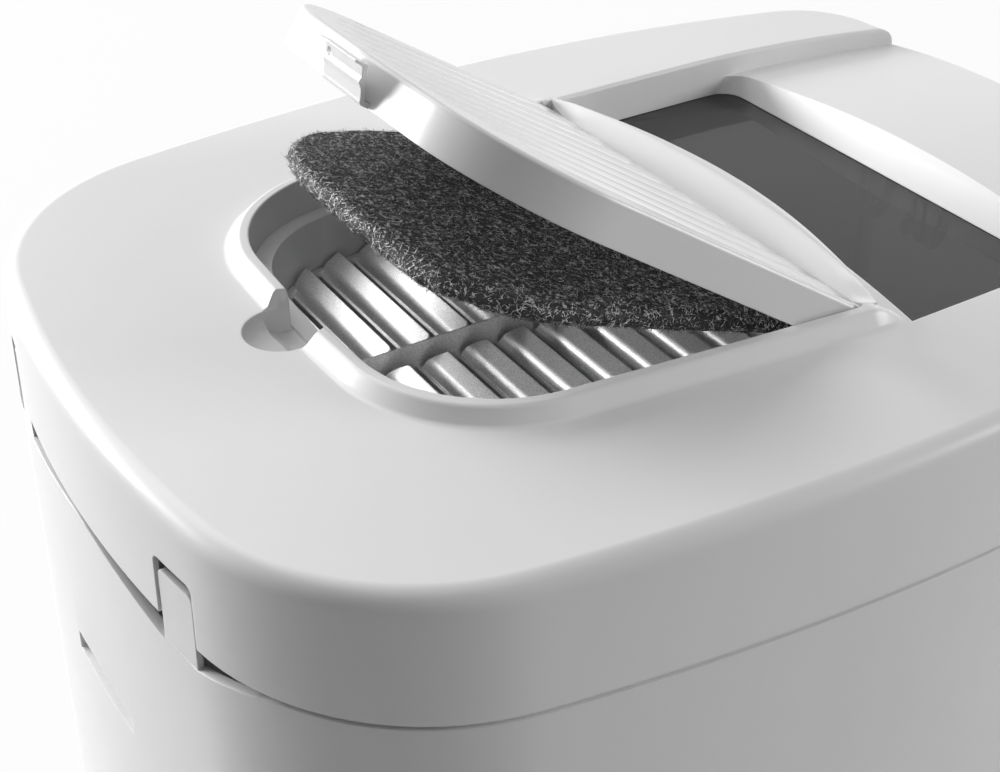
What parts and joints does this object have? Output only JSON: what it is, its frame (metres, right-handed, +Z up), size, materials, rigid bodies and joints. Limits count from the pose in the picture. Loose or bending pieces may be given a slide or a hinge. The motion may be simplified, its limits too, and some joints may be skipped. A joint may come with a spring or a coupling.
{
  "type": "cat litter box with hood",
  "caption": "Deep rounded litter tray with a lift-off hood, a filter compartment under a ribbed hinged lid, a smoked roof window and a swinging entrance flap.",
  "frame": {"origin": "on the floor under the middle of the box", "axes": "+X across the box to its right seen from the entrance, +Y from the entrance to the back, +Z up"},
  "size_m": [0.453, 0.586, 0.5237],
  "materials": {
    "tray_plastic": "white moulded plastic, satin",
    "hood_plastic": "white moulded plastic, satin",
    "lid_plastic": "white moulded plastic with fine ribs",
    "smoked_plastic": "smoked clear plastic",
    "clip_plastic": "pale plastic",
    "silver_plastic": "silver-grey plastic with a metallic speckle",
    "carbon_felt": "black charcoal fibre",
    "foot_rubber": "grey rubber"
  },
  "bodies": {
    "tray": {"base_tray": "tray_plastic", "foot_front_right": "foot_rubber", "foot_front_left": "foot_rubber", "foot_rear_right": "foot_rubber", "foot_rear_left": "foot_rubber"},
    "hood": {"hood_shell": "hood_plastic", "window_pane": "smoked_plastic", "window_clip_right": "clip_plastic", "window_clip_left": "clip_plastic", "filter_grille": "silver_plastic", "door_pin_right": "clip_plastic", "door_pin_left": "clip_plastic"},
    "lid": {"filter_lid": "lid_plastic"},
    "latch": {"lid_latch": "lid_plastic"},
    "pad": {"filter_pad": "carbon_felt"},
    "flap": {"swing_door": "smoked_plastic"}
  },
  "joints": [
    {"name": "hood_lift", "type": "slide", "parent": "tray", "child": "hood", "axis": [0, 0, 1], "range_m": [0, 0.25]},
    {"name": "lid_swing", "type": "hinge", "parent": "hood", "child": "lid", "pos_m": [0, -0.0245, 0.404], "axis": [1, 0, 0], "range_deg": [-33.5, 56.5]},
    {"name": "latch_bend", "type": "hinge", "parent": "lid", "child": "latch", "pos_m": [0, 0.14646, 0.503], "axis": [1, 0, 0], "range_deg": [0, 8], "stiffness_Nm_per_rad": 0.3},
    {"name": "pad_tilt", "type": "hinge", "parent": "hood", "child": "pad", "pos_m": [0, -0.0145, 0.3913], "axis": [1, 0, 0], "range_deg": [-16.8, 28.33]},
    {"name": "flap_swing", "type": "hinge", "parent": "hood", "child": "flap", "pos_m": [0, -0.266, 0.3334], "axis": [1, 0, 0], "range_deg": [-70, 70]}
  ],
  "couplings": [
    {"joint": "pad_tilt", "follows": "lid_swing", "ratio": 0.50149}
  ]
}
